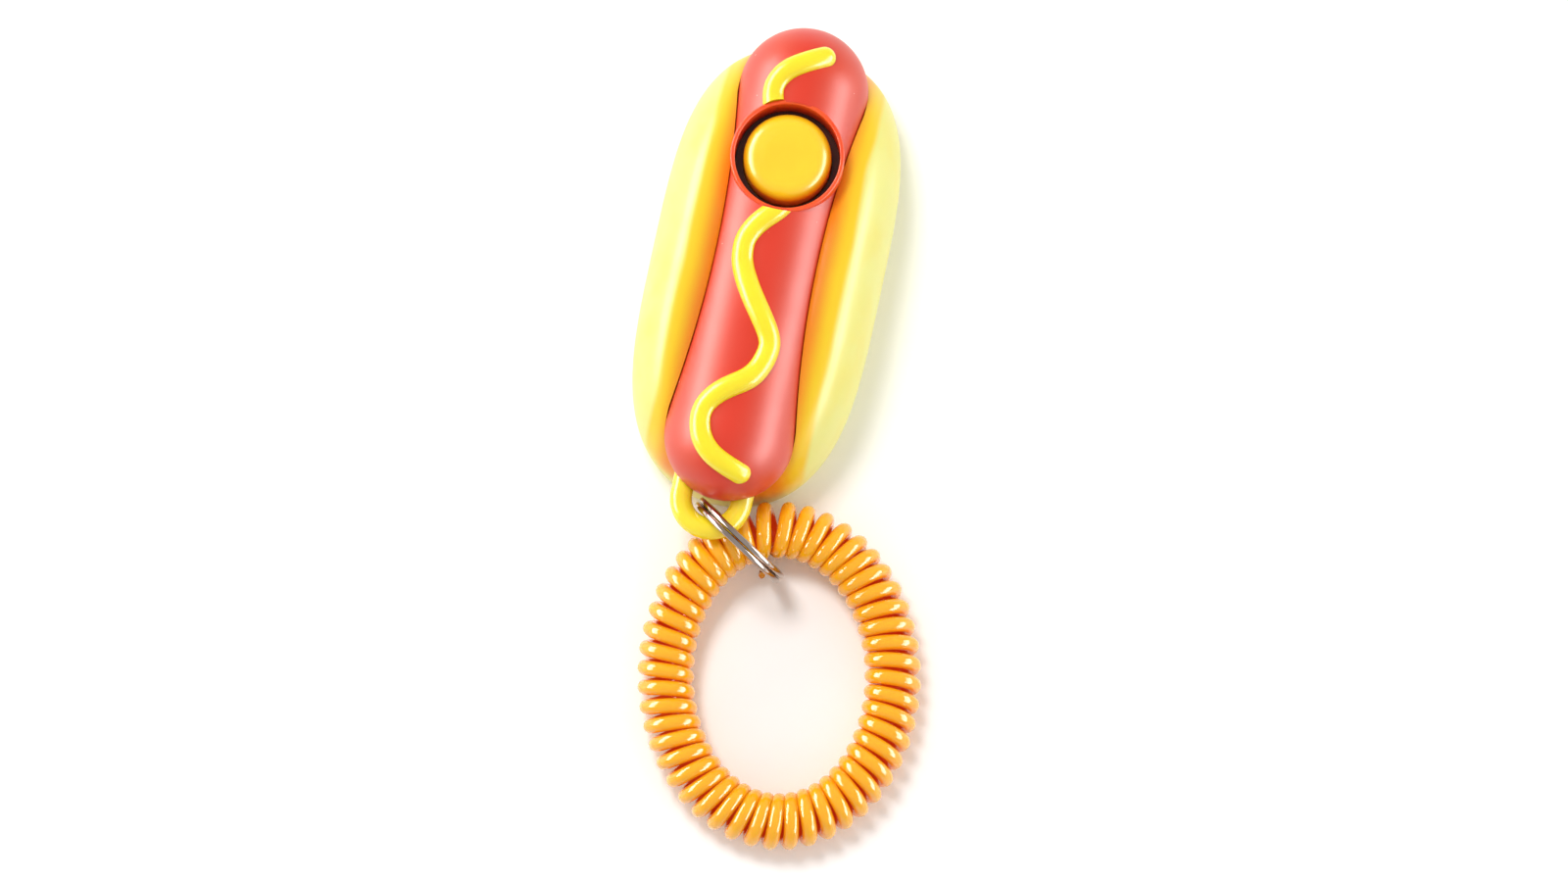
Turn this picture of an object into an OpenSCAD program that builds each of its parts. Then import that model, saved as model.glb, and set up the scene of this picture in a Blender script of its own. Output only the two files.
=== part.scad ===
// Hand-held clicker trainer shaped like a filled bun, with a split ring and a curly wrist coil.
// Millimetres. The origin is the middle of the flat underside, +Y runs to the button end, +Z is up.

/* [Bun] */
// Length of the bun along Y
bun_l = 74.8; // [60:0.2:90]
// Width of the bun across X
bun_w = 37; // [34:0.2:45]
// Height of the two lobes at their middle
bun_h = 22; // [21:0.1:24]
// Wall of the moulded bun shell
shell_wall = 1.8; // [1.2:0.1:2.2]

/* [Sausage cover] */
// How far each tip of the sausage reaches past the bun
sausage_over = 1.1; // [0.6:0.1:3]
// Radius of the sausage
sausage_r = 10.3; // [10:0.1:10.8]
// Height of the sausage's axis above the underside
sausage_z = 14.8; // [14.4:0.1:15.6]
// Half width that the bun leaves uncovered at the waist
waist_x = 8.1; // [7.6:0.1:8.6]
// Wall of the moulded cover
cover_wall = 1.7; // [1.2:0.1:2]

/* [Mustard] */
// Width of the raised mustard bead
bead_w = 3.65; // [2.8:0.05:4.4]

/* [Button] */
// Place of the button's axis along Y
button_y = 15.8; // [13:0.1:17]
// Radius of the button
button_r = 6.95; // [5.75:0.05:8.35]
// Height of the button's top above the underside
button_top = 24.9; // [24:0.1:26]
// How far the button travels
button_travel = 1.6; // [1:0.1:2]
// Gap between the button and the wall of its well
well_gap = 1.35; // [1.15:0.05:1.6]
// Wall of the rim round the well
rim_wall = 0.7; // [0.5:0.05:0.9]
// Height of the rim's top above the underside
rim_z = 24.9; // [24:0.1:25.6]

/* [Click blade] */
// Thickness of the spring steel blade
blade_t = 0.3; // [0.2:0.05:0.4]
// Width of the blade
blade_w = 8; // [6:0.5:9]
// Height of the blade's upper face above the underside
blade_z = 10; // [9.6:0.1:11]

/* [Case screws] */
// Diameter of the screws' shanks
screw_d = 2; // [1.6:0.1:2.2]
// Distance of each case screw from the middle, along Y
case_screw_y = 27; // [26.6:0.1:27.4]
// Thickness of the base cover
base_t = 2; // [1.8:0.1:2.4]

/* [Lanyard loop] */
// Radius from the loop's middle to the outside of its bar
loop_r = 6.55; // [6.2:0.05:7]
// Diameter of the loop's round bar
loop_bar_d = 3.5; // [3.2:0.1:3.6]
// Height of the loop's middle above the underside
loop_z = 12.8; // [12.6:0.1:13]

/* [Split ring] */
// Outer diameter of the split ring
ring_od = 18.2; // [18:0.1:19]
// Thickness of its wire, measured outwards
ring_wire = 1.25; // [1:0.05:1.4]
// Distance between the middles of its two turns
ring_pitch = 1.05; // [0.9:0.05:1.1]

/* [Wrist coil] */
// Outer diameter of the curly cord
coil_od = 9.1; // [8:0.1:9.2]
// Half length of the coil's loop, measured to the middle of the cord
coil_half_l = 23.15; // [20:0.05:30]
// Half width of the coil's loop, measured to the middle of the cord
coil_half_w = 18; // [17:0.05:25]

/* [Hidden] */
$fn = 96;
eps = 0.01;

// Clearances
cover_gap = 0.1;        // between the cover and the bun's opening
base_gap = 0.15;        // between the base cover and its rebate
ring_fit = 0.05;        // between the guide ring and the well
button_gap = 0.15;      // between the button and the guide ring
screw_gap = 0.05;       // between a screw and its hole
slot_gap = 0.12;        // between the loop's root and its slot
blade_gap = 0.25;       // above and below the blade in its clamp
stem_gap = 0.15;        // between the button's stem and the blade
tall = 60;              // more than the height of the whole case

// Outline of the bun, as a superellipse in plan and another along its side
plan_end = 3.6;
plan_side = 2.2;
side_power = 2.3;
crest_share = 0.62;     // the lobe's crest, as a share of the half width
valley_share = 0.4;     // where the inner slope ends
base_share = 0.74;      // the flat underside
bulge_share = 0.36;     // height of the widest line
valley_depth = 0.093;   // how far the inner slope falls
last_station = 0.9995;
stations = 22;
arc_steps = 6;

// Waist: a large vertical cylinder on each side cuts the sausage to the line where the bun meets it
waist_r = 160;
seat_z = 9;             // the cover's lower edge between its tips
tip_z = 6;              // its lower edge at the round tips
sausage_l = bun_l + 2 * sausage_over;
cap_y = sausage_l / 2 - sausage_r;
cover_in_r = sausage_r - cover_wall;
seat_lip = 1.3;         // width of the ledge that the cover sits on
cradle_wall = 1.6;      // wall of the bun round the cover
cradle_r = sausage_r + cover_gap + cradle_wall;
tip_start = 2.8;        // from the centre of a round tip to where the low part of the cover begins
tip_y = cap_y + tip_start;
pocket_over = 0.05;     // extra radius of the pocket over the sausage's axis
core_low_gap = 0.6;     // extra wall round the lower core of a lobe
core_high_gap = 2.4;    // extra wall round the upper core
core_low_share = 0.5;   // tops of the two cores, as shares of the bun's height
core_high_share = 0.74;

// Base cover and its rebate
rebate_inset = 4.6;
opening_inset = 6.6;

// Screws and posts
post_r = 2.5;
head_r = 1.9;
head_h = 1;
head_sunk = 0.2;
screw_top = 12;
hole_over = 1;          // how far the hole goes on past the screw's point
recess_w = 0.4;         // cross recess of a screw's head
recess_share = 0.6;     // its reach and its depth, as shares of the head
post_top = sausage_z + cover_in_r + cover_wall / 2;

// Button
edge_r = 1.8;
edge_steps = 8;
edge_start = 80;        // where the edge's arc meets the dome, in degrees
dome = 0.35;
cap_wall = 1.4;
guide_h = 2;
guide_z = 17;           // underside of the guide ring
flange_gap = 0.3;
flange_h = 1.2;
stem_r = 2;
flange_reach = 0.6;     // how far the flange goes out under the guide ring
bore_gap = 0.2;         // round the flange
well_r = button_r + well_gap;
rim_r = well_r + rim_wall;
guide_in_r = button_r + button_gap;
guide_out_r = well_r - ring_fit;
flange_r = guide_in_r + flange_reach;
bore_r = flange_r + bore_gap;
skirt_z = guide_z - flange_gap - flange_h;
inner_r = button_r - cap_wall;

// Three pins of the base cover that stop the button, one behind the blade's tip and two beside it
stop_r = 0.9;
stop_gap = 0.1;         // left over the pins when the button is down
stop_z = skirt_z - button_travel - stop_gap;
stop_side_gap = 0.3;    // between a pin and the blade, or the post of the case screw
stop_post_y = case_screw_y - post_r - stop_r - stop_side_gap - button_y;
stop_mid_r = min((inner_r + flange_r) / 2, stop_post_y);
stop_x = blade_w / 2 + stop_side_gap + stop_r;
stop_back = sqrt(pow(stop_mid_r, 2) - pow(stop_x, 2));
stops = [[0, stop_mid_r], for (s = [-1, 1]) [s * stop_x, -stop_back]];
tube_over = 0.3;        // how far the tube round the well goes down past the pins' tops
tube_z = stop_z - tube_over;

// Blade and its clamp
tail_y = -10;           // the line that the blade bends about
tail_half = 2;
tip_over = 2.6;         // how far the blade reaches past the button's axis
dimple_y = 4;
dimple_r = 7;
dimple_h = 0.8;
clamp_side = 1.2;       // how far the clamp stands out past the blade on each side
clamp_back = 0.4;       // between the blade's tail and the clamp's back wall
clamp_w = blade_w + 2 * clamp_side;
clamp_y0 = -17.5;
clamp_y1 = tail_y + tail_half;
clamp_back_y = tail_y - tail_half - clamp_back;
clamp_h = 2.4;
clamp_screw_y = -15;
clamp_screw_low = 4;    // bottom of the hole for the clamp screw
clamp_screw_end = 5;    // height of its point

// Lanyard loop
loop_x = -0.8;
loop_in = 0.2;          // from the sausage's tip to the loop's middle, inwards
loop_y = loop_in - sausage_l / 2;
bar_r = loop_bar_d / 2;
loop_mid_r = loop_r - bar_r;
root_y = -tip_y;
root_front = 0.9;       // from the loop's middle to the front of the root's web
root_front_y = loop_y + root_front;
root_t = 3;

// Split ring: it stands almost on edge, and its wire goes down through the loop's hole at one place
thread_off = [-1.08, -1.38];
ring_turn = -32;
ring_lean = 6;
ring_clear = 0.1;
ring_mid_r = (ring_od - ring_wire) / 2;
ring_z = ring_od / 2 * cos(ring_lean) + ring_clear;
thread_up = (loop_z - ring_z) / cos(ring_lean);
thread_out = sqrt(pow(ring_mid_r, 2) - pow(thread_up, 2));
ring_place = [loop_x, loop_y] + thread_off + about([thread_out, thread_up * sin(ring_lean)], ring_turn);

// Wrist coil: an ellipse that rises where it goes through the ring, over the ring's wire
coil_turn = 12;
coil_clear = 0.05;
coil_over = 0.6;        // between the ring's wire and the cord over it
coil_lift = ring_wire + coil_over;
lift_at = 112;
lift_half = 75;
coil_aside = -0.59;     // from the ring's middle to the middle of the cord, along the ring
coil_cross = [coil_half_w * cos(lift_at), coil_half_l * sin(lift_at)];
coil_place = ring_place + about([coil_aside, 0], ring_turn) - about(coil_cross, coil_turn);
coil_stations = 60;
coil_sides = 12;

// Mustard: places chosen along the middle of each bead, as X and the share of the way from rim to tip
upper_path = [[2.4, 0.569], [-0.5, 0.445], [-2.9, 0.321], [-4.1, 0.168], [-4.2, 0.029],
              [-3.6, -0.117]];
lower_path = [[1.5, -0.049], [0.2, -0.004], [-2.1, 0.049], [-3.5, 0.108], [-3.6, 0.155],
              [-3.2, 0.21], [-1.4, 0.287], [0.7, 0.355], [3.0, 0.43], [3.5, 0.486], [2.1, 0.583],
              [-1.0, 0.631], [-3.6, 0.684], [-4.7, 0.746], [-3.9, 0.821], [-1.9, 0.87],
              [0.6, 0.896], [3.0, 0.912]];
bead_steps = 4;
bead_arc = 10;
bead_strip = 4;
bead_end = 4;           // rings that round each end
bead_blunt = 0.12;      // height of the last of them over the sausage
bead_sink = 0.4;        // depth of the arc's middle under the sausage's surface
bead_clear = 0.03;

function about(p, a) = [p[0] * cos(a) - p[1] * sin(a), p[0] * sin(a) + p[1] * cos(a)];
function plan_half(y, l, w) = w / 2 * pow(1 - pow(abs(y) / (l / 2), plan_end), 1 / plan_side);
function side_height(y, l, h) = h * pow(1 - pow(abs(y) / (l / 2), side_power), 1 / side_power);
function waist_half(y, d) = waist_x - d + waist_r - sqrt(pow(waist_r, 2) - y * y);

// Right half of the bun's section at a station, from the middle of the base to the middle of the top
function half_section(w, h, z0) =
    let (zb = z0 + bulge_share * h, xc = crest_share * w, xs = valley_share * w, zt = z0 + h)
    concat(
        [for (i = [0:arc_steps]) let (a = 90 * i / arc_steps)
            [w * (base_share + (1 - base_share) * sin(a)), zb - (zb - z0) * cos(a)]],
        [for (i = [1:arc_steps]) let (a = 90 * i / arc_steps)
            [xc + (w - xc) * cos(a), zb + (zt - zb) * sin(a)]],
        [for (i = [1:arc_steps]) let (a = 90 * i / arc_steps)
            [xc - (xc - xs) * sin(a), zt - valley_depth * h * (1 - cos(a))]]);

function full_section(w, h, z0) =
    let (half = half_section(w, h, z0), n = len(half))
    concat([[0, z0]], half, [for (i = [n - 1:-1:0]) [-half[i][0], half[i][1]]]);

// Triangles that join rings of equal length, the first ring starting at one index
function side_faces(rings, sides, first) = [for (i = [0:rings - 2], k = [0:sides - 1], part = [0, 1])
    let (a = first + i * sides + k, b = first + i * sides + (k + 1) % sides)
    part == 0 ? [a, b, b + sides] : [a, b + sides, a + sides]];
function turned(face) = [for (k = [len(face) - 1:-1:0]) face[k]];

// Solid loft of the bun's outside, or of the space inside its wall
module bun_loft(l, w, h, z0) {
    ys = [for (i = [0:stations]) l / 2 * last_station * sin(-90 + 180 * i / stations)];
    rings = [for (y = ys) full_section(plan_half(y, l, w), side_height(y, l, h), z0)];
    sides = len(rings[0]);
    points = [for (i = [0:stations], p = rings[i]) [p[0], ys[i], p[1]]];
    faces = concat([turned([for (k = [0:sides - 1]) k])], side_faces(stations + 1, sides, 0),
                   [[for (k = [0:sides - 1]) stations * sides + k]]);
    polyhedron(points, [for (f = faces) turned(f)]);
}

// Flat outline of the bun, drawn in by an inset
module bun_outline(inset) {
    n = 48;
    l = bun_l - 2 * inset;
    w = bun_w - 2 * inset;
    ys = [for (i = [0:n]) l / 2 * last_station * sin(-90 + 180 * i / n)];
    polygon(concat([for (y = ys) [plan_half(y, l, w), y]],
                   [for (i = [n:-1:0]) [-plan_half(ys[i], l, w), ys[i]]]));
}

module capsule(r) {
    translate([0, 0, sausage_z]) {
        rotate([90, 0, 0]) cylinder(r = r, h = 2 * cap_y, center = true);
        for (s = [-1, 1]) translate([0, s * cap_y, 0]) sphere(r = r);
    }
}

module waist_cutters(inset) {
    for (s = [-1, 1]) translate([s * (waist_x + waist_r), 0, -tall / 2])
        cylinder(r = waist_r + inset, h = 2 * tall, $fn = 256);
}

// The sausage narrowed to the waist line
module narrowed_capsule(inset) {
    difference() {
        capsule(sausage_r - inset);
        waist_cutters(inset);
    }
}

// Everything under the cover's lower edge
module under_seat() {
    translate([-tall, -tall, -tall]) cube([2 * tall, 2 * tall, tall + tip_z]);
    translate([-tall, -tip_y, -tall]) cube([2 * tall, 2 * tip_y, tall + seat_z]);
}

// Space that the cover drops into, from its seat upwards
module cover_pocket() {
    r = sausage_r + cover_gap;
    over_r = r + pocket_over;
    difference() {
        union() {
            capsule(r);
            translate([0, 0, sausage_z]) linear_extrude(tall) {
                square([2 * over_r, 2 * cap_y], center = true);
                for (s = [-1, 1]) translate([0, s * cap_y]) circle(r = over_r);
            }
        }
        waist_cutters(-cover_gap);
        under_seat();
    }
    translate([0, button_y, tube_z - cover_gap]) cylinder(r = rim_r + cover_gap, h = tall);
}

// Hollow of one lobe beside the cover, up to a height
module lobe_core(inset, z1) {
    translate([0, 0, base_t - eps]) linear_extrude(z1 - base_t + eps) difference() {
        bun_outline(inset);
        square([2 * cradle_r, 2 * cap_y], center = true);
        for (s = [-1, 1]) translate([0, s * cap_y]) circle(r = cradle_r);
    }
}

// Yellow shell, open underneath and above
module bun_shell() {
    color("#F4DF4A") difference() {
        bun_loft(bun_l, bun_w, bun_h, 0);
        cover_pocket();
        lobe_core(shell_wall + core_low_gap, bun_h * core_low_share);
        lobe_core(shell_wall + core_high_gap, bun_h * core_high_share);
        translate([0, 0, base_t]) linear_extrude(seat_z - base_t + eps) intersection() {
            square([2 * (waist_x - seat_lip), 2 * tip_y], center = true);
            bun_outline(opening_inset);
        }
        translate([0, 0, -eps]) linear_extrude(base_t + eps) bun_outline(rebate_inset);
    }
}

module screw_hole(x, y, z0, z1) {
    translate([x, y, z0]) cylinder(d = screw_d + 2 * screw_gap, h = z1 - z0);
}

// Plate that closes the underside and carries the blade's pedestal and the button's stops
module base_cover() {
    color("#F0D23C") difference() {
        union() {
            linear_extrude(base_t) bun_outline(rebate_inset + base_gap);
            translate([-clamp_w / 2, clamp_y0, base_t - eps])
                cube([clamp_w, clamp_y1 - clamp_y0, blade_z - blade_t - blade_gap - base_t + eps]);
            for (p = stops) translate([p[0], button_y + p[1], base_t - eps])
                cylinder(r = stop_r, h = stop_z - base_t + eps);
        }
        for (s = [-1, 1]) {
            screw_hole(0, s * case_screw_y, -eps, base_t + eps);
            translate([0, s * case_screw_y, -eps])
                cylinder(r = head_r + 2 * screw_gap, h = head_h + head_sunk + eps);
        }
        screw_hole(0, clamp_screw_y, clamp_screw_low, blade_z);
    }
}

// Slot through the cover's tip for the root of the loop
module loop_root(gap) {
    for (s = [-1, 1]) translate([loop_x + s * loop_mid_r, root_y, loop_z]) rotate([90, 0, 0])
        cylinder(r = bar_r + gap, h = root_y - loop_y);
    translate([loop_x - loop_mid_r, root_front_y, loop_z - root_t / 2 - gap])
        cube([2 * loop_mid_r, root_y - root_front_y, root_t + 2 * gap]);
}

module sausage_cover() {
    color("#E8482C") difference() {
        union() {
            difference() {
                narrowed_capsule(0);
                narrowed_capsule(cover_wall);
                under_seat();
            }
            translate([0, button_y, tube_z]) cylinder(r = rim_r, h = rim_z - tube_z);
            for (s = [-1, 1]) translate([0, s * case_screw_y, base_t])
                cylinder(r = post_r, h = post_top - base_t);
        }
        translate([0, button_y, guide_z]) cylinder(r = well_r, h = tall);
        translate([0, button_y, tube_z - eps]) cylinder(r = bore_r, h = guide_z - tube_z + 2 * eps);
        for (s = [-1, 1]) screw_hole(0, s * case_screw_y, base_t - eps, screw_top + hole_over);
        translate([0, -slot_gap, 0]) loop_root(slot_gap);
        translate([0, slot_gap, 0]) loop_root(slot_gap);
    }
}

// Point of a smooth curve through four places, between the second and the third
function through(p0, p1, p2, p3, t) = 0.5 * (2 * p1 + (p2 - p0) * t
    + (2 * p0 - 5 * p1 + 4 * p2 - p3) * t * t + (3 * p1 - p0 - 3 * p2 + p3) * t * t * t);
function smooth(path) = let (n = len(path))
    concat([for (i = [0:n - 2], k = [0:bead_steps - 1])
        through(path[max(i - 1, 0)], path[i], path[i + 1], path[min(i + 2, n - 1)], k / bead_steps)],
        [path[n - 1]]);

// Height of the bead's middle over a place on the sausage
function on_sausage(p) = let (over = max(0, abs(p[1]) - cap_y), r = sausage_r - bead_sink)
    [p[0], p[1], sausage_z + sqrt(r * r - p[0] * p[0] - over * over)];
function unit(v) = v / norm(v);

// Nearest point of the sausage's axis, and a place moved out from it to just above the surface
function axis_point(p) = [0, max(-cap_y, min(cap_y, p[1])), sausage_z];
function onto_sausage(p) = axis_point(p) + (sausage_r + bead_clear) * unit(p - axis_point(p));

// Section of the bead: an arc from the sausage over the top and back, then a strip along the sausage
function bead_ring(m, t, r) =
    let (s = unit(cross(t, unit(m - axis_point(m)))), u = cross(s, t), w = asin(bead_sink / r))
    concat([for (k = [0:bead_arc])
                let (a = w + (180 - 2 * w) * k / bead_arc, p = m + r * (cos(a) * s + sin(a) * u))
                k == 0 || k == bead_arc ? onto_sausage(p) : p],
           [for (j = [1:bead_strip - 1])
                onto_sausage(m + r * cos(w) * (2 * j / bead_strip - 1) * s + bead_sink * u)]);

// Bead with round ends from the rim towards one tip, minus the rim that it runs into
module bead(path, side) {
    rim_y = button_y + side * rim_r;
    mid = [for (p = smooth(path)) on_sausage([p[0], rim_y + p[1] * (side * sausage_l / 2 - rim_y)])];
    n = len(mid);
    r = bead_w / 2;
    reach = sqrt(r * r - bead_sink * bead_sink);
    t0 = unit(mid[1] - mid[0]);
    t1 = unit(mid[n - 1] - mid[n - 2]);
    turns = [for (i = [1:bead_end]) acos((bead_sink + bead_blunt) / r) * i / bead_end];
    rings = concat(
        [for (a = turned(turns)) bead_ring(mid[0] - r * sin(a) * t0, t0, r * cos(a))],
        [for (i = [0:n - 1]) bead_ring(mid[i], unit(mid[min(i + 1, n - 1)] - mid[max(i - 1, 0)]), r)],
        [for (a = turns) bead_ring(mid[n - 1] + r * sin(a) * t1, t1, r * cos(a))]);
    count = len(rings);
    sides = len(rings[0]);
    last = count * sides + 1;
    points = concat([onto_sausage(mid[0] - reach * t0)], [for (ring = rings, p = ring) p],
                    [onto_sausage(mid[n - 1] + reach * t1)]);
    faces = concat([for (k = [0:sides - 1]) [0, 1 + (k + 1) % sides, 1 + k]], side_faces(count, sides, 1),
                   [for (k = [0:sides - 1]) [last, last - sides + k, last - sides + (k + 1) % sides]]);
    difference() {
        polyhedron(points, faces);
        translate([0, button_y, 0]) cylinder(r = rim_r, h = tall);
    }
}

module mustard_upper() {
    color("#F3E82D") bead(upper_path, 1);
}

module mustard_lower() {
    color("#F3E82D") bead(lower_path, -1);
}

function arc_points(cx, cy, r, a0, a1, n) =
    [for (i = [0:n]) let (a = a0 + (a1 - a0) * i / n) [cx + r * cos(a), cy + r * sin(a)]];

module button() {
    top_in = button_top - edge_r;
    color("#F9CC2C") translate([0, button_y, 0]) {
        rotate_extrude() polygon(concat(
            [[0, button_top + dome]],
            arc_points(button_r - edge_r, top_in, edge_r, edge_start, 0, edge_steps),
            [[button_r, skirt_z + flange_h], [flange_r, skirt_z + flange_h], [flange_r, skirt_z],
             [inner_r, skirt_z], [inner_r, top_in], [stem_r, top_in],
             [stem_r, blade_z + stem_gap], [0, blade_z + stem_gap]]));
    }
}

module guide_ring() {
    color("#3B2018") translate([0, button_y, guide_z]) difference() {
        cylinder(r = guide_out_r, h = guide_h);
        translate([0, 0, -eps]) cylinder(r = guide_in_r, h = guide_h + 2 * eps);
    }
}

module click_blade() {
    mid_z = blade_z - blade_t / 2;
    tip_y = button_y + tip_over;
    color("#AEB4BA") difference() {
        union() {
            translate([-blade_w / 2, tail_y - tail_half, blade_z - blade_t])
                cube([blade_w, tip_y - tail_y + tail_half, blade_t]);
            intersection() {
                translate([0, dimple_y, blade_z - dimple_r + dimple_h]) sphere(r = dimple_r);
                translate([-blade_w, -tall, mid_z]) cube([2 * blade_w, 2 * tall, tall]);
            }
        }
        intersection() {
            translate([0, dimple_y, blade_z - dimple_r + dimple_h]) sphere(r = dimple_r - blade_t);
            translate([-tall, -tall, blade_z - blade_t - eps]) cube([2 * tall, 2 * tall, tall]);
        }
    }
}

module blade_clamp() {
    under = blade_z + blade_gap;
    seat = blade_z - blade_t - blade_gap;
    color("#2B2A2C") difference() {
        union() {
            translate([-clamp_w / 2, clamp_y0, under]) cube([clamp_w, clamp_y1 - clamp_y0, clamp_h]);
            translate([-clamp_w / 2, clamp_y0, seat])
                cube([clamp_w, clamp_back_y - clamp_y0, under - seat + eps]);
        }
        screw_hole(0, clamp_screw_y, seat - eps, under + clamp_h + eps);
    }
}

// Pan-head screw along Z, with its head at one end and a cross recess in it
module screw(x, y, head_z, tip_z) {
    up = sign(head_z - tip_z);
    translate([x, y, head_z]) mirror([0, 0, up > 0 ? 1 : 0]) difference() {
        union() {
            cylinder(r = head_r, h = head_h);
            cylinder(d = screw_d, h = abs(head_z - tip_z));
        }
        for (a = [0, 90]) rotate([0, 0, a]) translate([-head_r * recess_share, -recess_w / 2, -eps])
            cube([2 * head_r * recess_share, recess_w, head_h * recess_share]);
    }
}

module clamp_screw() {
    color("#B9BEC4") screw(0, clamp_screw_y, blade_z + blade_gap + clamp_h + head_h, clamp_screw_end);
}

module case_screw(side) {
    color("#B9BEC4") screw(0, side * case_screw_y, head_sunk, screw_top);
}

// Closed loop: half a ring, two straight sides and the root that the cover holds
module lanyard_loop() {
    color("#F1DC33") union() {
        translate([loop_x, loop_y, loop_z]) rotate([0, 0, 180]) rotate_extrude(angle = 180)
            translate([loop_mid_r, 0]) circle(r = bar_r);
        loop_root(0);
    }
}

module split_ring() {
    color("#C9C6C4") translate([ring_place[0], ring_place[1], ring_z])
        rotate([90 + ring_lean, 0, ring_turn]) rotate_extrude() for (s = [-1, 1])
            translate([ring_mid_r, s * ring_pitch / 2]) circle(d = ring_wire);
}

function coil_rise(a) = let (d = abs(((a - lift_at + 540) % 360) - 180))
    d > lift_half ? 0 : coil_lift * pow(cos(90 * d / lift_half), 2);
function coil_point(a) = [coil_half_w * cos(a), coil_half_l * sin(a),
                          coil_od / 2 + coil_clear + coil_rise(a)];

// Fat tube of the curly cord's outer diameter, closed round the loop
module wrist_coil() {
    n = coil_stations;
    points = [for (i = [0:n - 1])
        let (a = 360 * i / n, p = coil_point(a), t = unit(coil_point(a + 1) - coil_point(a - 1)),
             s = unit(cross(t, [0, 0, 1])), u = cross(s, t))
        for (k = [0:coil_sides - 1]) let (b = 360 * k / coil_sides)
            p + coil_od / 2 * (cos(b) * s + sin(b) * u)];
    faces = [for (i = [0:n - 1], k = [0:coil_sides - 1], half = [0, 1])
        let (j = (i + 1) % n, m = (k + 1) % coil_sides)
        half == 0 ? [i * coil_sides + k, i * coil_sides + m, j * coil_sides + m]
                  : [i * coil_sides + k, j * coil_sides + m, j * coil_sides + k]];
    color("#F9A52A") translate([coil_place[0], coil_place[1], 0]) rotate([0, 0, coil_turn])
        polyhedron(points, faces);
}

bun_shell();
base_cover();
sausage_cover();
mustard_upper();
mustard_lower();
button();
guide_ring();
click_blade();
blade_clamp();
clamp_screw();
case_screw(1);  // case_screw_north
case_screw(-1);  // case_screw_south
lanyard_loop();
split_ring();
wrist_coil();
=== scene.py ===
"""Looks of a hand-held clicker trainer: a filled bun with a push button, a loop, a split ring and a wrist coil.

Everything is in metres in the row frame: the origin is the middle of the case's flat underside, +Y runs to the
button end and +Z is up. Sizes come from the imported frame; a length named in millimetres is multiplied by MM.
"""

import logging
import math
import random
from dataclasses import dataclass, field
from enum import Enum
from typing import Iterable, Sequence

import bmesh
import bpy
from mathutils import Matrix, Vector
from mathutils.kdtree import KDTree


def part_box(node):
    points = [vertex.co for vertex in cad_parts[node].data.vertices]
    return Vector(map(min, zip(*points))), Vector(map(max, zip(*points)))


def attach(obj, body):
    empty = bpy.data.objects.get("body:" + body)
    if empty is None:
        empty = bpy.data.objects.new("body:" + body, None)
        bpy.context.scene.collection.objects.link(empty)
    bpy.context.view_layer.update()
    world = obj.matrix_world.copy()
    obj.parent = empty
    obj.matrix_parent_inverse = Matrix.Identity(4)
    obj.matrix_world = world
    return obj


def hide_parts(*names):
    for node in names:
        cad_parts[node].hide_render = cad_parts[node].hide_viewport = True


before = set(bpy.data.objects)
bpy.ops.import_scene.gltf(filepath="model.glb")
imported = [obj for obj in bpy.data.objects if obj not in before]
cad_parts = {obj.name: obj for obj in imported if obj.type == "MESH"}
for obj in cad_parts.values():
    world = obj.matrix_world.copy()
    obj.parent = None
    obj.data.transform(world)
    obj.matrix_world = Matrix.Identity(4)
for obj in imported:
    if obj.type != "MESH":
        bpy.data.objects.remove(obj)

LOG = logging.getLogger("clicker")
MM = 0.001
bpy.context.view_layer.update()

Points = list[Vector]
Colour = tuple[float, float, float, float]
Tree = bpy.types.NodeTree
Socket = bpy.types.NodeSocket
Piece = bpy.types.Object
Form = bmesh.types.BMesh

NOISE, STEP, MATH, MIX = "ShaderNodeTexNoise", "ShaderNodeMapRange", "ShaderNodeMath", "ShaderNodeMix"
# Where each layer of colour starts to show and where it is full: values of the patterns, distances from the
# middle line, and the heights over which the bun's deeper colours set in. These bands are painted: the bun's
# gold is painted shade, its orange a painted reflection of the red filling, the sausage's deep crest painted
# shade.
CLOUD_EDGE, NICK_EDGE = (0.35, 0.75), (0.86, 0.9)
GOLD_EDGE, ORANGE_EDGE, CREST_EDGE = (14.1 * MM, 13.1 * MM), (12.6 * MM, 9.4 * MM), (6.4 * MM, 1.2 * MM)
RISE_EDGE = (4 * MM, 10 * MM)
# How far the edges of the painted shade and reflection wander, and the widths of that wandering, of a nick and
# of a thumb's smear.
WANDER, WANDER_WIDTH, NICK_WIDTH, SMEAR_WIDTH = 1.6 * MM, 14 * MM, 0.9 * MM, 5 * MM
NICK_COLOUR = "#F7D9C8"
# Least and most roughness that handling leaves, as shares of a finish's own.
HANDLED = (0.86, 1.16)


# --- Colours, nodes and finishes ---


def linear(code: str) -> Colour:
    """Turns an sRGB hex code into a linear colour.

    Args:
        code: six hex digits after a hash sign.

    Returns:
        Red, green, blue and an alpha of one.
    """
    parts = [int(code[i : i + 2], 16) / 255 for i in (1, 3, 5)]
    r, g, b = (c / 12.92 if c <= 0.04045 else ((c + 0.055) / 1.055) ** 2.4 for c in parts)
    return r, g, b, 1.0


def add_node(tree: Tree, kind: str, inputs: dict | None = None, **settings: object) -> bpy.types.Node:
    """Adds a node with its settings, values and links.

    Args:
        tree: the node tree that gets the node.
        kind: the node's type name.
        inputs: a value or a linked socket for each input, by name or by number.
        settings: properties of the node itself.

    Returns:
        The new node.
    """
    node = tree.nodes.new(kind)
    for name, value in settings.items():
        setattr(node, name, value)
    for name, value in (inputs or {}).items():
        if isinstance(value, Socket):
            tree.links.new(value, node.inputs[name])
        else:
            node.inputs[name].default_value = value
    return node


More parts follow.
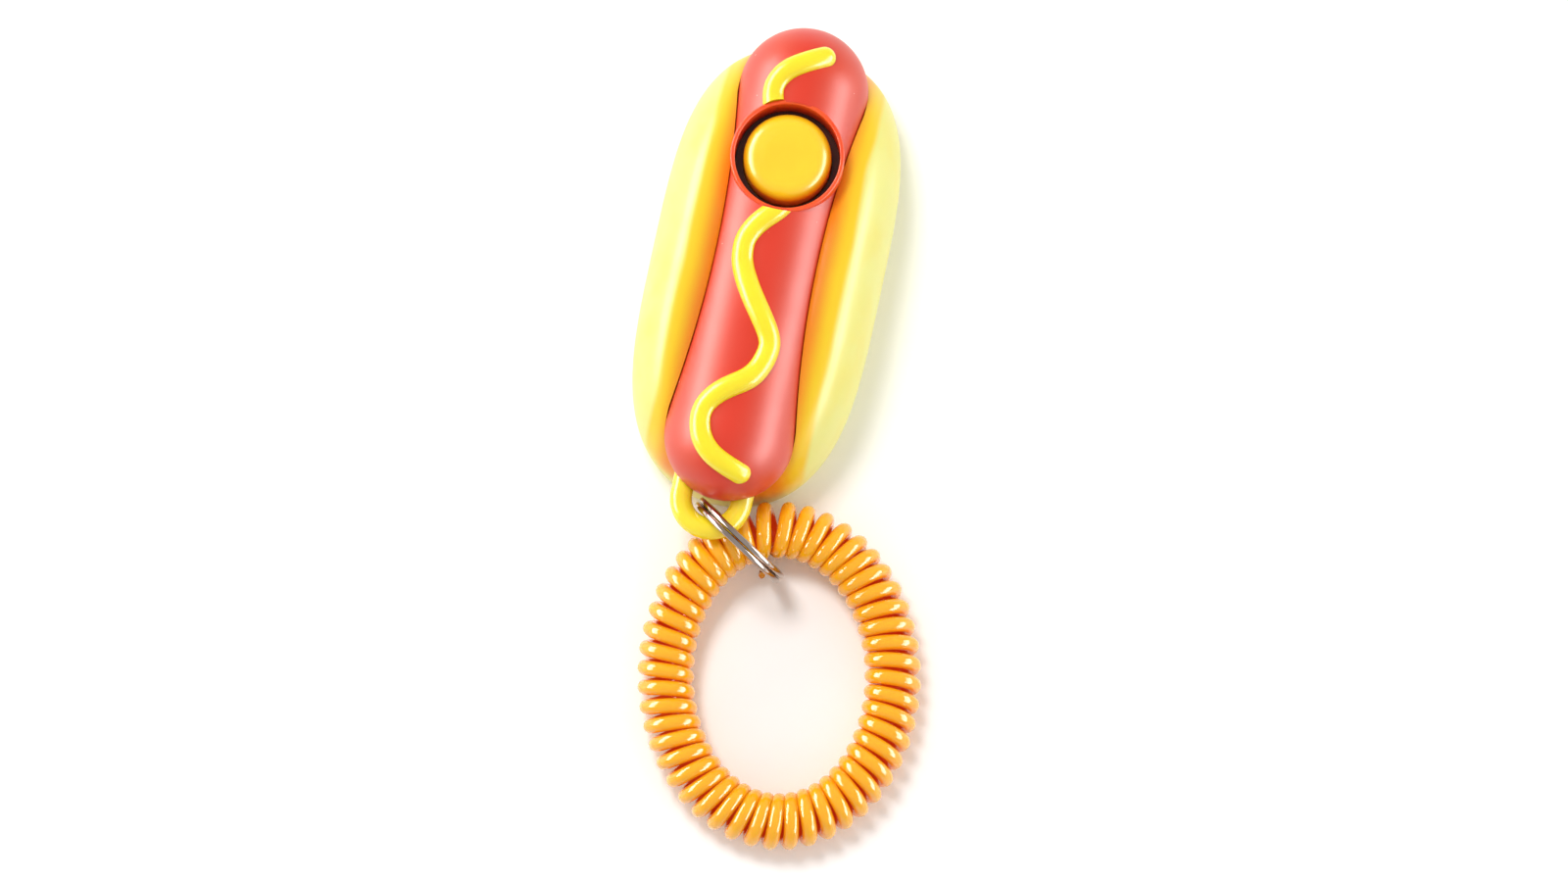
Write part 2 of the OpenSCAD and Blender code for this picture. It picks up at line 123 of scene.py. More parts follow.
def blank(name: str) -> tuple[bpy.types.Material, Tree, Socket]:
    """A new material with an empty node tree, and the Object coordinates in it."""
    material = bpy.data.materials.new(name)
    material.use_nodes = True
    tree = material.node_tree
    tree.nodes.clear()
    return material, tree, add_node(tree, "ShaderNodeTexCoord").outputs["Object"]


class Surface(Enum):
    """How a surface was made, which chooses its pattern."""

    MOULDED = "moulded"
    GLOSS = "gloss"
    ROLLED = "rolled"
    PLATED = "plated"


# How the pattern is drawn out: along a rolled strip, and over a plated wire.
DRAWN_OUT = {Surface.ROLLED: (1.0, 0.06, 1.0), Surface.PLATED: (0.25, 0.25, 1.0)}


class PaintedLight(Enum):
    """Where a piece's colour is painted deeper, as painted shade and a painted reflection."""

    NONE = "none"
    BY_SEAM = "by the seam"
    ALONG_CREST = "along the crest"


@dataclass(frozen=True)
class Finish:
    """One real material and how its surface was made.

    Attributes:
        name: the material's common name and the piece that it is for.
        tint: the main colour.
        shade: the colour of its faint cloudy patches, from the pigment's flow.
        roughness: microscopic roughness.
        surface: how the surface was made.
        metallic: one for a metal.
        ior: index of refraction; metals keep the default.
        coat: weight of a clear, smoother skin.
        coat_roughness: roughness of that skin.
        glow: share of light that goes in and comes out again, as in coloured plastic.
        glow_mm: how far that light travels.
        grain_mm: spacing of the finest pattern that shows.
        grain_depth_mm: height of that pattern.
        cloud_mm: size of the patches.
        painted_light: where painted shade and a painted reflection deepen the colour.
        deep: the deepest painted colour there: on the bun a painted reflection of the red filling, on the
            sausage painted shade.
        between: the colour on the way to it: on the bun, painted shade on its flat crest.
        nicks: how much its small nicks show.
    """

    name: str
    tint: str
    shade: str
    roughness: float
    surface: Surface = Surface.MOULDED
    metallic: float = 0.0
    ior: float = 1.5
    coat: float = 0.0
    coat_roughness: float = 0.1
    glow: float = 0.0
    glow_mm: float = 1.0
    grain_mm: float = 0.35
    grain_depth_mm: float = 0.004
    cloud_mm: float = 9.0
    painted_light: PaintedLight = PaintedLight.NONE
    deep: str = "#F59A2A"
    between: str = "#F8D52E"
    nicks: float = 0.0

    def build(self) -> bpy.types.Material:
        """Makes the material, or finds it if it was made before."""
        known = bpy.data.materials.get(self.name)
        if known is not None:
            return known
        material, tree, place = blank(self.name)
        inputs: dict[str, object] = {
            "Base Color": self.colour(tree, place),
            "Roughness": self.gloss(tree, place),
            "Normal": self.relief(tree, place),
            "Metallic": self.metallic,
            "Coat Weight": self.coat,
            "Coat Roughness": self.coat_roughness,
            "Subsurface Weight": self.glow,
            "Subsurface Scale": self.glow_mm * MM,
            "Subsurface Radius": (1.0, 0.45, 0.2),
        }
        if not self.metallic:
            inputs["IOR"] = self.ior
        shader = add_node(tree, "ShaderNodeBsdfPrincipled", inputs)
        add_node(tree, "ShaderNodeOutputMaterial", {"Surface": shader.outputs["BSDF"]})
        return material

    def colour(self, tree: Tree, place: Socket) -> Socket:
        """Lays its patches, its zones of painted shade and painted reflection, and its nicks over the main
        colour, each with a soft edge.
        """
        cloud = add_node(tree, NOISE, {"Vector": place, "Scale": 1 / (self.cloud_mm * MM)}).outputs["Fac"]
        layers: list[tuple[Socket, tuple[float, float], object, str]] = [(cloud, CLOUD_EDGE, 1.0, self.shade)]
        # Painted light: the bun's gold band is painted shade on its flat crest and its orange by the seam a
        # painted reflection of the red filling; the sausage's deeper red along its crest is painted shade where
        # no lamp reflects.
        if self.painted_light is not PaintedLight.NONE:
            split = add_node(tree, "ShaderNodeSeparateXYZ", {"Vector": place})
            across = add_node(tree, MATH, {0: split.outputs["X"]}, operation="ABSOLUTE").outputs[0]
            pattern = {"Vector": place, "Scale": 1 / WANDER_WIDTH, "Detail": 1.0}
            wander = add_node(tree, NOISE, pattern).outputs["Fac"]
            terms = {0: wander, 1: WANDER, 2: across}
            across = add_node(tree, MATH, terms, operation="MULTIPLY_ADD").outputs[0]
            if self.painted_light is PaintedLight.BY_SEAM:
                edge = {"Value": split.outputs["Z"], "From Min": RISE_EDGE[0], "From Max": RISE_EDGE[1]}
                risen = add_node(tree, STEP, edge, interpolation_type="SMOOTHSTEP").outputs[0]
                layers += [(across, GOLD_EDGE, risen, self.between), (across, ORANGE_EDGE, risen, self.deep)]
            else:
                layers.append((across, CREST_EDGE, 1.0, self.deep))
        if self.nicks:
            pattern = {"Vector": place, "Scale": 1 / NICK_WIDTH, "Detail": 0.0}
            layers.append((add_node(tree, NOISE, pattern).outputs["Fac"], NICK_EDGE, self.nicks, NICK_COLOUR))
        colour: object = linear(self.tint)
        for value, (start, full), weight, code in layers:
            edge = {"Value": value, "From Min": start, "From Max": full}
            share = add_node(tree, STEP, edge, interpolation_type="SMOOTHSTEP").outputs[0]
            share = add_node(tree, MATH, {0: share, 1: weight}, operation="MULTIPLY").outputs[0]
            colour = add_node(tree, MIX, {0: share, 6: colour, 7: linear(code)}, data_type="RGBA").outputs[2]
        return colour

    def gloss(self, tree: Tree, place: Socket) -> Socket:
        """Roughness that wanders a little, as a handled surface's does."""
        smear = add_node(tree, NOISE, {"Vector": place, "Scale": 1 / SMEAR_WIDTH, "Detail": 3.0}).outputs["Fac"]
        least, most = (self.roughness * share for share in HANDLED)
        return add_node(tree, STEP, {"Value": smear, "To Min": least, "To Max": most}).outputs["Result"]

    def relief(self, tree: Tree, place: Socket) -> Socket:
        """The finest pattern: a spark-eroded mould's grain, rolling lines or a wire's faint drawing lines."""
        if self.surface in DRAWN_OUT:
            scale = DRAWN_OUT[self.surface]
            place = add_node(tree, "ShaderNodeMapping", {"Vector": place, "Scale": scale}).outputs["Vector"]
        height = add_node(tree, NOISE, {"Vector": place, "Scale": 1 / (self.grain_mm * MM)}).outputs["Fac"]
        inputs = {"Height": height, "Distance": self.grain_depth_mm * MM, "Strength": 0.6}
        return add_node(tree, "ShaderNodeBump", inputs).outputs["Normal"]


# ABS with a satin mould texture: pale lemon with soft highlights, with painted shade in gold on its crest and a
# painted orange reflection of the filling by the seam.
BUN_ABS = Finish(
    "bun_satin_ABS", "#E2DE7C", "#E4D968", 0.36, glow=0.2, glow_mm=1.2, painted_light=PaintedLight.BY_SEAM,
    deep="#F08C18", between="#F0C81A",
)
# The same ABS from a coarser tool, flat and a little darker, as an underside is.
BASE_ABS = Finish("base_textured_ABS", "#EFD23E", "#E9C838", 0.5, grain_mm=0.5, grain_depth_mm=0.02)
# Tomato-red ABS with a clear satin skin: painted shade in a deeper red along its crest, and wide pale
# reflections down its flanks.
SAUSAGE_ABS = Finish(
    "sausage_satin_ABS", "#D43A14", "#D03410", 0.44, coat=0.3, coat_roughness=0.36,
    painted_light=PaintedLight.ALONG_CREST, deep="#D82E0C", nicks=0.5,
)
# Soft glossy PVC laid on as a bead: bright cold yellow, wet-looking, with narrow highlights.
MUSTARD_PVC = Finish(
    "mustard_glossy_PVC", "#F6E21C", "#F3D91A", 0.24, Surface.GLOSS, coat=0.4, glow=0.2, grain_mm=1.1
)
# Golden ABS, polished by thumbs: a flat warm top and a sharp pale ring on its rounded edge.
BUTTON_ABS = Finish(
    "button_polished_ABS", "#FACF1C", "#F8C816", 0.3, coat=0.6, coat_roughness=0.2, glow=0.15, grain_mm=0.6
)
# Dark-brown acetal guide, deep in the well: it shows as a near-black gap with a warm edge.
GUIDE_ACETAL = Finish("guide_brown_acetal", "#4A2118", "#3B1912", 0.38, ior=1.48)
# Spring steel strip, cold rolled: grey-blue with fine lines along it.
BLADE_STEEL = Finish(
    "blade_spring_steel", "#AEB4BA", "#9DA4AC", 0.26, Surface.ROLLED, metallic=1.0, grain_mm=0.25
)
# Glass-filled nylon: dull black with a dry grain.
CLAMP_NYLON = Finish("clamp_black_nylon", "#26252A", "#1D1C20", 0.6, ior=1.53, grain_depth_mm=0.015)
# Zinc-plated steel: light grey with a slight blue, slightly cloudy.
SCREW_ZINC = Finish("screw_zinc_plate", "#BCC2CA", "#A9B2BC", 0.3, Surface.PLATED, metallic=1.0)
# Glossy translucent PVC loop: lemon yellow with a clear highlight down its bar.
LOOP_PVC = Finish("loop_glossy_PVC", "#F7E22C", "#F4D624", 0.2, Surface.GLOSS, coat=0.5, glow=0.3, glow_mm=1.6)
# The same red ABS at the rim of the well: partly a real glow from light coming through where it thins out,
# partly painted light, its colour painted lighter and more orange than the cover's.
RIM_ABS = Finish("rim_thin_red_ABS", "#F0541A", "#EA4814", 0.34, ior=1.54, glow=0.4, glow_mm=1.5)
# Nickel-plated spring wire: a near mirror that takes its colour from what is round it; its warm tint is partly
# a painted reflection of the red and orange pieces round it.
RING_NICKEL = Finish(
    "ring_nickel_plate", "#BDB0A8", "#A5958A", 0.09, Surface.PLATED, metallic=1.0, grain_depth_mm=0.001
)
# Studio paper: white and matt.
FLOOR_PAPER = Finish("floor_white_paper", "#FFFFFF", "#FDFDFD", 0.7, grain_mm=0.8)


@dataclass(frozen=True)
class ClearCord:
    """Polyurethane cord, clear and coloured: amber where light falls on it, with painted shade and a painted
    glow in red-orange between its turns.

    Attributes:
        name: the material's name.
        lit: colour of the outside of the turns, the lit copy of the cord's colour.
        between: painted shade, a redder copy of the colour where a turn faces its neighbour or the inside of
            the coil.
        carried: strength of a painted glow in those places, standing for light that reaches them through the
            cord.
        attribute: the mesh attribute that marks them.
    """

    name: str = "coil_polyurethane"
    lit: str = "#F8B012"
    between: str = "#E8561E"
    carried: float = 0.12
    attribute: str = "between_turns"

    def build(self) -> bpy.types.Material:
        """Makes the cord's material."""
        material, tree, place = blank(self.name)
        depth = add_node(tree, "ShaderNodeAttribute", attribute_name=self.attribute).outputs["Fac"]
        cloud = add_node(tree, NOISE, {"Vector": place, "Scale": 1 / (6 * MM)}).outputs["Fac"]
        swing = add_node(tree, STEP, {"Value": cloud, "To Min": -0.06, "To Max": 0.06}).outputs[0]
        share = add_node(tree, MATH, {0: depth, 1: swing}, operation="ADD", use_clamp=True).outputs[0]
        colour = add_node(
            tree, MIX, {0: share, 6: linear(self.lit), 7: linear(self.between)}, data_type="RGBA"
        ).outputs[2]
        haze = add_node(tree, NOISE, {"Vector": place, "Scale": 1 / (1.5 * MM)}).outputs["Fac"]
        rough = add_node(tree, STEP, {"Value": haze, "To Min": 0.05, "To Max": 0.1}).outputs[0]
        bump = add_node(tree, "ShaderNodeBump", {"Height": haze, "Distance": 0.01 * MM, "Strength": 0.4})
        # Painted glow: the gaps emit light, standing for the light that the clear cord carries along itself
        # into them.
        carried = add_node(tree, MATH, {0: depth, 1: self.carried}, operation="MULTIPLY").outputs[0]
        shader = add_node(
            tree,
            "ShaderNodeBsdfPrincipled",
            {
                "Base Color": colour,
                "Emission Color": linear(self.between),
                "Emission Strength": carried,
                "Roughness": rough,
                "Normal": bump.outputs["Normal"],
                "IOR": 1.49,
                "Coat Weight": 0.5,
                "Coat Roughness": 0.05,
                "Subsurface Weight": 0.25,
                "Subsurface Scale": 1.0 * MM,
                "Subsurface Radius": (1.0, 0.5, 0.1),
            },
        )
        add_node(tree, "ShaderNodeOutputMaterial", {"Surface": shader.outputs["BSDF"]})
        return material


# --- Making meshes ---


def loft(sections: Sequence[Points], closed: bool = False, poles: bool = False) -> Form:
    """Draws one ring of edges through a row of sections.

    Args:
        sections: rings of equally many points, from one end to the other.
        closed: whether the last ring joins the first.
        poles: whether each end closes in a fan round its middle, and not in one flat face.

    Returns:
        A closed mesh with its normals outwards.
    """
    bm = bmesh.new()
    count = len(sections[0])
    made = bmesh.ops.create_circle(bm, segments=count, radius=1.0)
    ring = list(made["verts"])
    first = ring
    for vert, point in zip(ring, sections[0]):
        vert.co = point
    for section in sections[1:]:
        edges = [bm.edges.get((ring[i], ring[(i + 1) % count])) for i in range(count)]
        drawn = bmesh.ops.extrude_edge_only(bm, edges=edges)
        new = {v for v in drawn["geom"] if isinstance(v, bmesh.types.BMVert)}
        ring = [next(e.other_vert(v) for e in v.link_edges if e.other_vert(v) in new) for v in ring]
        for vert, point in zip(ring, section):
            vert.co = point
    ends = [[bm.edges.get((r[i], r[(i + 1) % count])) for i in range(count)] for r in (first, ring)]
    if closed:
        bmesh.ops.bridge_loops(bm, edges=ends[0] + ends[1])
    else:
        for edges in ends:
            face = bmesh.ops.contextual_create(bm, geom=edges)["faces"]
            if poles:
                bmesh.ops.poke(bm, faces=face)
    bmesh.ops.recalc_face_normals(bm, faces=bm.faces)
    return bm


def prism(outline: Points, low: float, high: float) -> Form:
    """A closed straight block over a flat outline, between two heights."""
    return loft([[Vector((p.x, p.y, z)) for p in outline] for z in (low, high)])


def cylinder(radius: float, low: float, high: float, x: float = 0.0, y: float = 0.0, sides: int = 128) -> Form:
    """A closed upright cylinder between two heights, round an axis at x and y."""
    bm = bmesh.new()
    shift = Matrix.Translation((x, y, (low + high) / 2))
    bmesh.ops.create_cone(
        bm, cap_ends=True, segments=sides, radius1=radius, radius2=radius, depth=high - low, matrix=shift
    )
    return bm


def lathe(profile: Sequence[tuple[float, float]], x: float, y: float, steps: int = 128) -> Form:
    """Turns an open or closed profile round an upright axis.

    Args:
        profile: radius and height of each point in turn; where it starts and ends on the axis, the poles close.
        x: place of the axis.
        y: place of the axis.
        steps: number of steps in the full turn.

    Returns:
        The turned mesh with its normals outwards.
    """
    bm = bmesh.new()
    verts = [bm.verts.new((x + r, y, z)) for r, z in profile]
    edges = [bm.edges.new(pair) for pair in zip(verts, verts[1:])]
    if profile[0][0] > 0:
        edges.append(bm.edges.new((verts[-1], verts[0])))
    bmesh.ops.spin(
        bm, geom=verts + edges, cent=(x, y, 0), axis=(0, 0, 1), angle=math.tau, steps=steps, use_merge=True
    )
    bmesh.ops.remove_doubles(bm, verts=bm.verts, dist=1e-6)
    bmesh.ops.recalc_face_normals(bm, faces=bm.faces)
    return bm


def rounded(corners: Sequence[tuple[float, float, float]], steps: int = 6) -> list[tuple[float, float]]:
    """Rounds the corners of a profile.

    Args:
        corners: two coordinates and a fillet radius for each corner; the ends keep theirs at zero.
        steps: number of steps in each fillet.

    Returns:
        The points of the profile with its fillets.
    """
    points: list[tuple[float, float]] = []
    for i, (x, z, r) in enumerate(corners):
        here = Vector((x, z))
        if r <= 0:
            points.append((x, z))
            continue
        before = (Vector(corners[i - 1][:2]) - here).normalized()
        after = (Vector(corners[(i + 1) % len(corners)][:2]) - here).normalized()
        half = before.angle(after) / 2
        start, end = here + before * r / math.tan(half), here + after * r / math.tan(half)
        middle = here + (before + after).normalized() * r / math.sin(half)
        for k in range(steps + 1):
            p = (start - middle).lerp(end - middle, k / steps).normalized() * r + middle
            points.append((p.x, p.y))
    return points


def stations(half: float, rows: int, reach: float = 0.9995) -> list[float]:
    """Places from minus to plus half a length, closer together towards its ends, where it stops just short."""
    return [half * reach * math.sin(math.pi * (k / rows - 0.5)) for k in range(rows + 1)]


def rectangle(half_x: float, half_y: float) -> Points:
    """The corners of a rectangle about the origin, in order."""
    return [Vector((half_x * x, half_y * y, 0)) for x, y in ((-1, -1), (1, -1), (1, 1), (-1, 1))]


def as_object(bm: Form, name: str) -> Piece:
    """Puts a mesh into the scene as an object at the origin."""
    mesh = bpy.data.meshes.new(name)
    bm.to_mesh(mesh)
    bm.free()
    piece = bpy.data.objects.new(name, mesh)
    bpy.context.scene.collection.objects.link(piece)
    return piece


def settle(piece: Piece) -> None:
    """Applies a piece's modifiers to its mesh."""
    bpy.context.view_layer.update()
    shaped = piece.evaluated_get(bpy.context.evaluated_depsgraph_get())
    mesh = bpy.data.meshes.new_from_object(shaped)
    piece.modifiers.clear()
    piece.data = mesh


def cut(piece: Piece, cutters: Iterable[Form]) -> None:
    """Takes closed shapes out of a piece.

    Args:
        piece: the piece that is cut.
        cutters: what is taken out, one after another.
    """
    for bm in cutters:
        tool = as_object(bm, "cutter")
        step = piece.modifiers.new("cut", "BOOLEAN")
        step.operation = "DIFFERENCE"
        step.solver = "EXACT"
        step.object = tool
        settle(piece)
        bpy.data.objects.remove(tool)


def smooth(piece: Piece, degrees: float = 38.0) -> None:
    """Shades a mesh smooth, with edges sharper than an angle kept crisp."""
    piece.data.shade_smooth()
    piece.data.set_sharp_from_angle(angle=math.radians(degrees))


def dress(
    piece: Piece, finish: Finish | ClearCord, body: str, nodes: Sequence[str] = ()
) -> Piece:
    """Gives a finished piece its material and its body, and hides the CAD nodes that it stands for.

    Args:
        piece: the piece.
        finish: its finish.
        body: the CAD body that it rides on.
        nodes: CAD nodes that it stands for.

    Returns:
        The piece.
    """
    piece.data.materials.clear()
    piece.data.materials.append(finish.build())
    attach(piece, body)
    if nodes:
        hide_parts(*nodes)
    LOG.info("%s: %d faces on %s", piece.name, len(piece.data.polygons), body)
    return piece


def dress_node(node: str, finish: Finish) -> None:
    """Gives a carried-over CAD node its finish."""
    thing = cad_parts[node]
    thing.data.materials.clear()
    thing.data.materials.append(finish.build())
    LOG.info("%s: CAD node, %s", node, finish.name)


# --- Studio ---


class Rays(Enum):
    """Which surfaces a light shows on: a key without a hot spot, or a card that only gives a sheen."""

    ALL = "all"
    MATT = "matt"
    GLOSSY = "glossy"


@dataclass(frozen=True)
class Softbox:
    """A rectangular softbox that faces the object.

    Attributes:
        name: the light's name.
        place: where it hangs.
        size: its width and height.
        watts: its power.
        rays: which surfaces show it.
    """

    name: str
    place: tuple[float, float, float]
    size: tuple[float, float]
    watts: float
    rays: Rays = Rays.ALL

    def hang(self, target: Vector) -> None:
        """Hangs the softbox so that it faces a place."""
        data = bpy.data.lights.new(self.name, "AREA")
        data.shape = "RECTANGLE"
        data.size, data.size_y = self.size
        data.energy = self.watts
        lamp = bpy.data.objects.new(self.name, data)
        lamp.location = self.place
        lamp.visible_glossy = self.rays is not Rays.MATT
        lamp.visible_diffuse = self.rays is not Rays.GLOSSY
        lamp.rotation_euler = (Vector(self.place) - target).to_track_quat("Z", "Y").to_euler()
        bpy.context.scene.collection.objects.link(lamp)


LIGHTS = (
    Softbox("softbox_left", (-0.6, 0.05, 0.18), (0.8, 0.2), 1.7),
    Softbox("softbox_right", (0.62, -0.03, 0.16), (0.8, 0.2), 1.6),
    Softbox("sheen_left", (-0.56, 0.05, 0.25), (0.8, 0.3), 6.2, Rays.GLOSSY),
    Softbox("sheen_right", (0.58, -0.03, 0.23), (0.8, 0.3), 5.4, Rays.GLOSSY),
    Softbox("key_light", (-0.3, 0.28, 0.95), (0.3, 0.3), 5.6, Rays.MATT),
)


@dataclass
class Studio:
    """Camera, floor and lights.

    Attributes:
        target: where the camera's middle ray goes.
        distance: from the camera to the target.
        tilt: lean of the view from straight down, in degrees.
        picture_up: the direction across the floor that is up in the view.
        view_width: width of the view at the target.
        floor_gap: depth of the floor under the lowest faces.
        floor_half: half width of the floor.
        room_light: brightness of the white room.
    """

    target: Vector = field(default_factory=lambda: Vector((8.5, -26.8, 12.0)) * MM)
    distance: float = 1.0
    tilt: float = 8.5
    picture_up: Vector = field(default_factory=lambda: Vector((-0.2079, 0.9781, 0.0)))
    view_width: float = 0.248
    floor_gap: float = 0.03 * MM
    floor_half: float = 2.5
    room_light: float = 0.58

    def camera(self) -> None:
        """Places a long lens almost straight over the object."""
        data = bpy.data.cameras.new("studio_camera")
        data.lens = data.sensor_width * self.distance / self.view_width
        data.clip_start = 0.05
        lean = math.radians(self.tilt)
        back = Vector((0, 0, math.cos(lean))) - self.picture_up * math.sin(lean)
        right = self.picture_up.cross(Vector((0, 0, 1))).normalized()
        turn = Matrix((right, back.cross(right), back)).transposed()
        camera = bpy.data.objects.new("studio_camera", data)
        camera.matrix_world = Matrix.Translation(self.target + back * self.distance) @ turn.to_4x4()
        bpy.context.scene.collection.objects.link(camera)
        bpy.context.scene.camera = camera

    def build(self) -> None:
        """Sets the camera, the floor and the lights."""
        self.camera()
        bm = bmesh.new()
        sheet = Matrix.Translation((0, 0, -self.floor_gap))
        bmesh.ops.create_grid(bm, x_segments=1, y_segments=1, size=self.floor_half, matrix=sheet)
        floor = as_object(bm, "floor")
        floor.data.materials.append(FLOOR_PAPER.build())
        world = bpy.data.worlds.new("studio_room")
        bpy.context.scene.world = world
        world.use_nodes = True
        room = world.node_tree.nodes["Background"]
        room.inputs["Color"].default_value = linear("#FFFFFF")
        room.inputs["Strength"].default_value = self.room_light
        for light in LIGHTS:
            light.hang(self.target)
        bpy.context.scene.view_settings.view_transform = "Standard"


# --- The case ---


@dataclass
class CaseSizes:
    """Sizes that the pieces of the case share; those without a value come from the CAD nodes' boxes.

    Attributes:
        width: the bun's width.
        height: the bun's height.
        sausage_half: half length of the filling.
        sausage_r: radius of the filling.
        sausage_z: height of its middle line.
        button_y: place of the button along the case.
        button_top: height of the button's top.
        length: the bun's length.
        button_r: radius of the button's cap.
        waist_x: half width of the filling at its waist.
        waist_r: radius of the curves that draw it in there.
        rim_r: outer radius of the well's rim.
        well_r: inner radius of the well's rim.
        rim_top: height of the rim.
        fullness: powers that fill out the bun's outline along it and across it.
        above: a height over everything, for what is cut right through.
    """

    width: float
    height: float
    sausage_half: float
    sausage_r: float
    sausage_z: float
    button_y: float
    button_top: float
    length: float = 74.8 * MM
    button_r: float = 6.95 * MM
    waist_x: float = 8.1 * MM
    waist_r: float = 160 * MM
    rim_r: float = 9.0 * MM
    well_r: float = 8.3 * MM
    rim_top: float = 24.9 * MM
    fullness: tuple[float, float] = (3.6, 2.2)
    above: float = 40 * MM

    @classmethod
    def from_frame(cls) -> "CaseSizes":
        """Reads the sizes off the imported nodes."""
        bun, cover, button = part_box("bun_shell"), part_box("sausage_cover"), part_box("button")
        radius = cover[1].x
        return cls(
            width=bun[1].x - bun[0].x,
            height=bun[1].z,
            sausage_half=cover[1].y,
            sausage_r=radius,
            sausage_z=cover[1].z - radius,
            button_y=(button[0].y + button[1].y) / 2,
            button_top=button[1].z,
        )

    @property
    def cap_y(self) -> float:
        """Distance from the middle to the centre of each round tip."""
        return self.sausage_half - self.sausage_r

    def waist(self, y: float) -> float:
        """Half width that the bun leaves to the sausage at a station."""
        return self.waist_x + self.waist_r - math.sqrt(self.waist_r**2 - y * y)

    def outline_half(self, y: float, inset: float = 0.0) -> float:
        """Half width of the bun's outline at a station, drawn in by an inset."""
        share = min(1.0, abs(y) / (self.length / 2 - inset))
        along, across = self.fullness
        return (self.width / 2 - inset) * (1 - share**along) ** (1 / across)

    def outline(self, inset: float, rows: int = 60) -> Points:
        """The bun's outline, drawn in by an inset, as a ring of points."""
        ys = stations(self.length / 2 - inset, rows)
        right = [Vector((self.outline_half(y, inset), y, 0)) for y in ys]
        return right + [Vector((-p.x, p.y, 0)) for p in reversed(right)]


@dataclass
class Bun:
    """The bun's two lobes and the trough between them, in one moulded shell.

    Attributes:
        case: the case's sizes.
        rows: number of gaps between its sections.
        steps: number of steps in each of a section's three arcs.
        seam: gap left round the filling.
        tapering: power that rounds its height off towards its ends.
        foot: share of the half width that lies flat.
        bulge: height of its widest place, as a share of its height.
        crest: place of its highest line, as a share of the half width.
        valley: place where its slope ends, as a share of the half width.
        dip: fall of that slope, as a share of its height.
        trough_rows: number of gaps between the trough's sections.
        trough_sides: number of sides of each of them.
        trough_floor: lowest height of the trough.
        well_floor: lowest height of the room for the well's rim.
        room: half width and half length of the mechanism's room.
        room_heights: heights of its floor and top.
        base_inset: how far the base cover's recess lies inside the outline.
        base_heights: heights of its floor and top.
    """

    case: CaseSizes
    rows: int = 110
    steps: int = 16
    seam: float = 0.02 * MM
    tapering: float = 2.3
    foot: float = 0.74
    bulge: float = 0.36
    crest: float = 0.62
    valley: float = 0.4
    dip: float = 0.093
    trough_rows: int = 64
    trough_sides: int = 64
    trough_floor: float = 6 * MM
    well_floor: float = 13 * MM
    room: tuple[float, float] = (6.8 * MM, 31 * MM)
    room_heights: tuple[float, float] = (1.5 * MM, 8 * MM)
    base_inset: float = 4.6 * MM
    base_heights: tuple[float, float] = (-1 * MM, 2.01 * MM)

    def section(self, y: float) -> Points:
        """The bun's section at a station: flat underside, bulging flank, crest, and a slope to the trough."""
        case = self.case
        w = case.outline_half(y)
        share = abs(y) / (case.length / 2)
        h = case.height * (1 - share**self.tapering) ** (1 / self.tapering)
        bulge, crest, valley = self.bulge * h, self.crest * w, self.valley * w
        arc = [math.pi / 2 * k / self.steps for k in range(self.steps + 1)]
        half = [(w * (self.foot + (1 - self.foot) * math.sin(a)), bulge * (1 - math.cos(a))) for a in arc]
        half += [(crest + (w - crest) * math.cos(a), bulge + (h - bulge) * math.sin(a)) for a in arc[1:]]
        slope = self.dip * h
        half += [(crest - (crest - valley) * math.sin(a), h - slope * (1 - math.cos(a))) for a in arc[1:]]
        return [Vector((x, y, z)) for x, z in half] + [Vector((-x, y, z)) for x, z in reversed(half)]

    def trough(self) -> list[Form]:
        """The room for the filling, for the well's rim, for the mechanism and for the base cover."""
        case, gap = self.case, self.seam
        radius = case.sausage_r + gap
        low = []
        for y in stations(case.cap_y + radius, self.trough_rows, reach=0.9999):
            over = max(0.0, abs(y) - case.cap_y)
            r = math.sqrt(radius**2 - over**2)
            limit = min(case.waist(y) + gap, r)
            ring = []
            for i in range(self.trough_sides):
                a = math.tau * i / self.trough_sides
                x = max(-limit, min(limit, r * math.cos(a)))
                z = case.sausage_z + r * math.sin(a) if math.sin(a) < 0 else case.above
                ring.append(Vector((x, y, max(z, self.trough_floor))))
            low.append(ring)
        well = cylinder(case.rim_r + gap, self.well_floor, case.above, y=case.button_y)
        room = prism(rectangle(*self.room), *self.room_heights)
        return [loft(low), well, room, prism(case.outline(self.base_inset), *self.base_heights)]

    def build(self) -> Piece:
        """Lofts the bun and cuts its trough and its underside."""
        bun = as_object(loft([self.section(y) for y in stations(self.case.length / 2, self.rows)]), "bun")
        cut(bun, self.trough())
        smooth(bun)
        return dress(bun, BUN_ABS, "case", ["bun_shell"])


